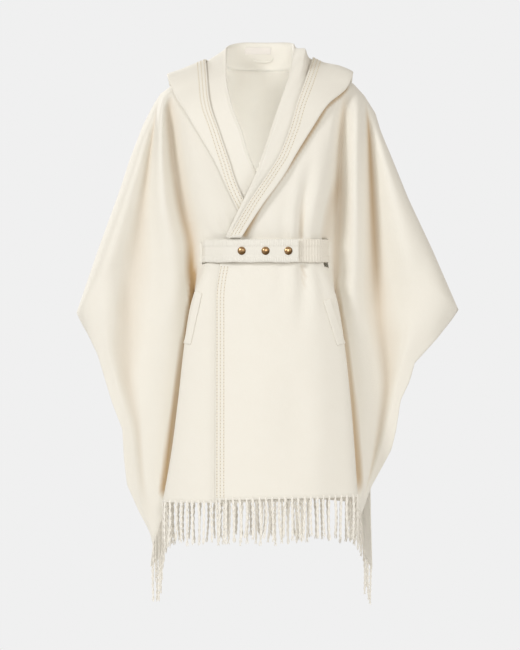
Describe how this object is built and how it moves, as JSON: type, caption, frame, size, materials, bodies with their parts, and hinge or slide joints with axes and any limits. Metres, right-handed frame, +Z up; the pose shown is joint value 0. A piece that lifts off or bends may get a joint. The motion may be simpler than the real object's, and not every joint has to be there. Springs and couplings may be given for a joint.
{
  "type": "hooded wrap cape",
  "caption": "Belted wool wrap cape with a thrown-back hood, wide lapels, arm-covering wings, slanted pocket welts and a fringed hem.",
  "frame": {"origin": "middle of the neck between the shoulders, where the wearer's shoulders and neck hold the cape up", "axes": "+Z up, -Y the front, +X the wearer's left"},
  "size_m": [0.7642, 0.3256, 1.139],
  "materials": {
    "cloth": "ivory double-faced wool with a short nap",
    "fringe": "ivory twisted wool ends",
    "ribbing": "off-white ribbed webbing",
    "elastic": "cream ribbed elastic webbing",
    "label": "plain satin tape, blank",
    "brass": "domed antique brass"
  },
  "bodies": {
    "root": {"front_left": "cloth", "front_right": "cloth", "back_panel": "cloth", "hood": "cloth", "welt_left": "cloth", "welt_right": "cloth", "hanging_loop": "cloth", "neck_label": "label", "belt_band": "ribbing", "belt_elastic": "elastic", "snap_1": "brass", "snap_2": "brass", "snap_3": "brass", "fringe_left": "fringe", "fringe_right": "fringe", "fringe_back": "fringe"}
  },
  "joints": []
}
